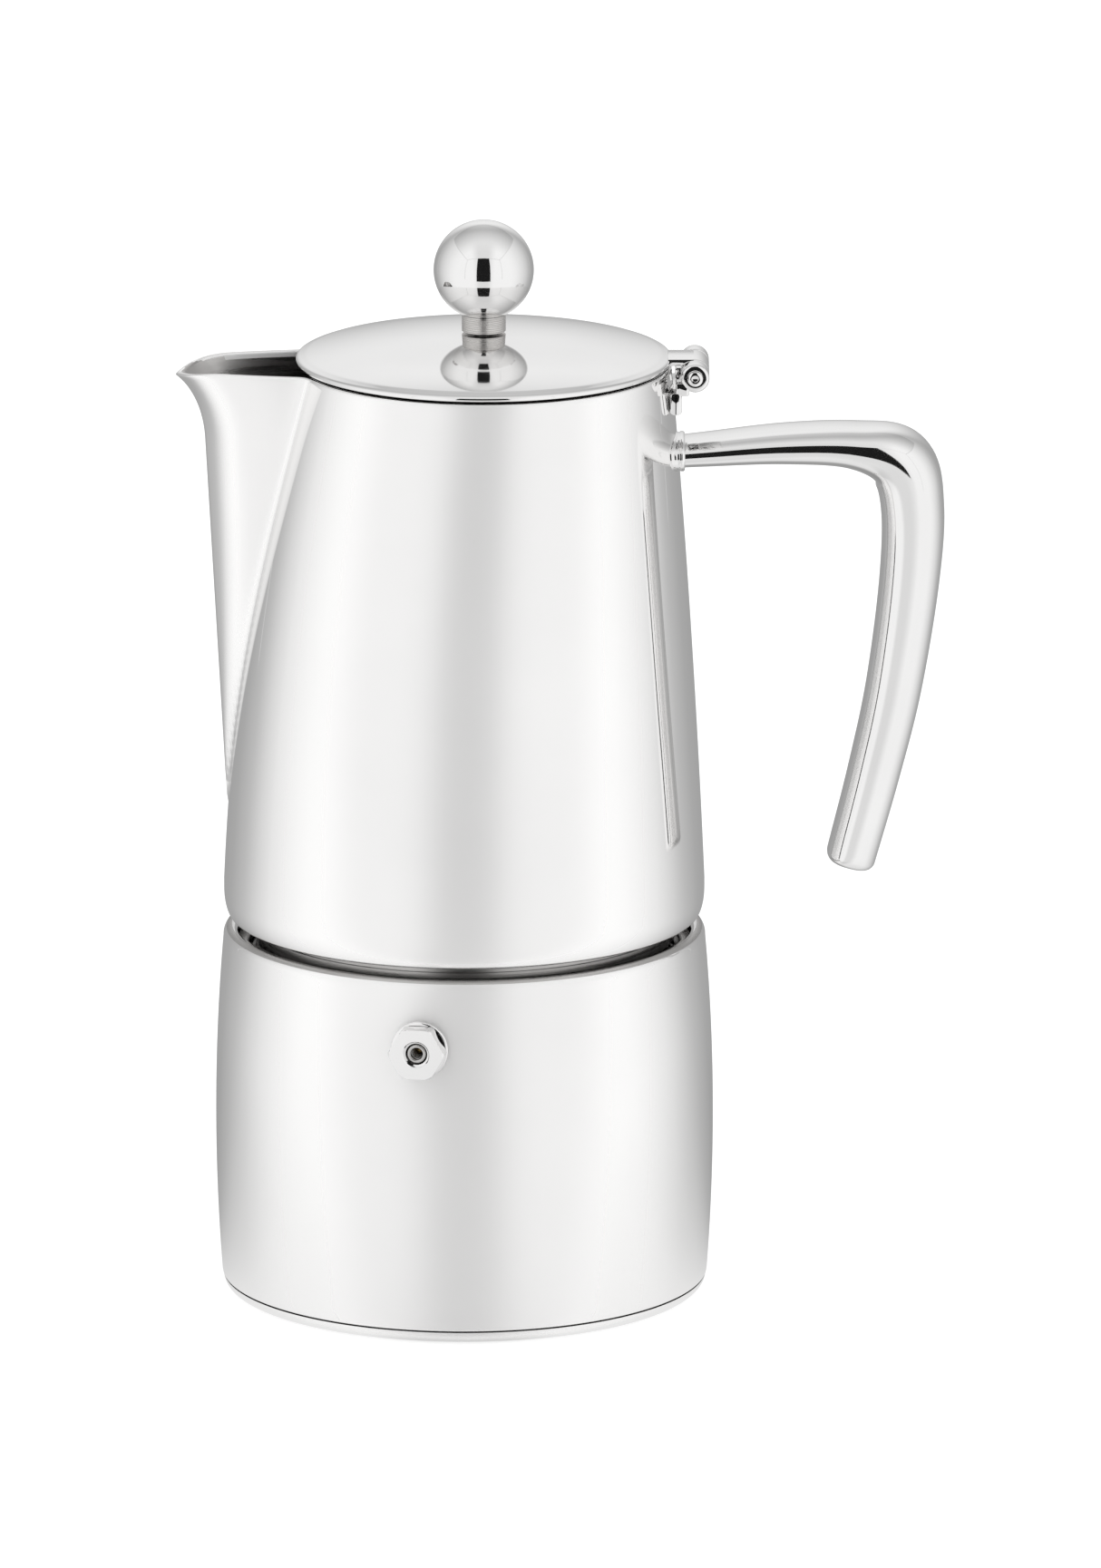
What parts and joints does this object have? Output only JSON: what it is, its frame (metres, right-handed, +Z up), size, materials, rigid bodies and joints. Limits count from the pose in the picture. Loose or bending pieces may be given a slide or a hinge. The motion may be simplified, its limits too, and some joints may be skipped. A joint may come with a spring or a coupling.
{
  "type": "moka pot",
  "caption": "Stainless stovetop moka pot: boiler with safety valve, coffee funnel, screw-on jug with beak spout, bent handle and hinged lid with a ball knob.",
  "frame": {"origin": "centre of the boiler's flat base, on the surface that the pot stands on", "axes": "+X towards the handle, -X along the spout, -Y towards the safety valve, +Z up"},
  "size_m": [0.1538, 0.1046, 0.2187],
  "materials": {
    "steel_satin": "satin polished stainless steel",
    "steel_polished": "mirror polished stainless steel",
    "steel_turned": "fine turned grooves",
    "steel_plain": "plain drawn stainless steel",
    "aluminium_core": "rolled",
    "valve_brass": "turned",
    "seal_silicone": "matt silicone",
    "valve_fibre": "pressed fibre"
  },
  "bodies": {
    "boiler": {"boiler_shell": "steel_satin", "base_cap": "steel_satin", "base_core": "aluminium_core", "boiler_neck": "steel_plain", "valve_washer": "steel_polished", "valve_body": "steel_polished", "valve_inner_washer": "valve_fibre", "valve_nut": "valve_brass", "valve_retainer": "steel_plain", "valve_spring": "steel_plain"},
    "valve_plunger": {"valve_pin": "valve_brass"},
    "funnel": {"funnel": "steel_plain", "funnel_plate": "steel_plain"},
    "filter": {"filter_plate": "steel_plain"},
    "seal": {"gasket": "seal_silicone"},
    "jug": {"jug_shell": "steel_satin", "jug_collar": "steel_plain", "jug_floor": "steel_plain", "riser_column": "steel_plain", "column_cap": "steel_plain", "handle": "steel_polished", "handle_ferrule": "steel_polished", "hinge_bracket": "steel_polished", "hinge_pin": "steel_polished"},
    "lid": {"lid": "steel_polished", "lid_knuckle": "steel_polished", "knob_stem": "steel_turned", "knob_ball": "steel_polished", "knob_washer": "steel_plain", "knob_screw": "steel_plain"}
  },
  "joints": [
    {"name": "jug_lift", "type": "slide", "parent": "boiler", "child": "filter", "axis": [0, 0, 1], "range_m": [0, 0.17]},
    {"name": "jug_rise", "type": "slide", "parent": "filter", "child": "seal", "axis": [0, 0, 1], "range_m": [0, 0.0033]},
    {"name": "jug_twist", "type": "hinge", "parent": "seal", "child": "jug", "pos_m": [0, 0, 0.08], "axis": [0, 0, 1], "range_deg": [0, 360]},
    {"name": "lid_hinge", "type": "hinge", "parent": "jug", "child": "lid", "pos_m": [0.0461, 0, 0.1885], "axis": [0, 1, 0], "range_deg": [0, 105]},
    {"name": "funnel_lift", "type": "slide", "parent": "boiler", "child": "funnel", "axis": [0, 0, 1], "range_m": [0, 0.086]},
    {"name": "valve_travel", "type": "slide", "parent": "boiler", "child": "valve_plunger", "axis": [-0.1736, -0.9848, 0], "range_m": [0, 0.001], "stiffness_N_per_m": 300, "springref_m": -0.003, "deforming": ["valve_spring"]}
  ],
  "couplings": [
    {"joint": "jug_rise", "follows": "jug_twist", "m_per_rad": 0.0005093},
    {"joint": "funnel_lift", "follows": "jug_lift", "ratio": 0.5}
  ]
}
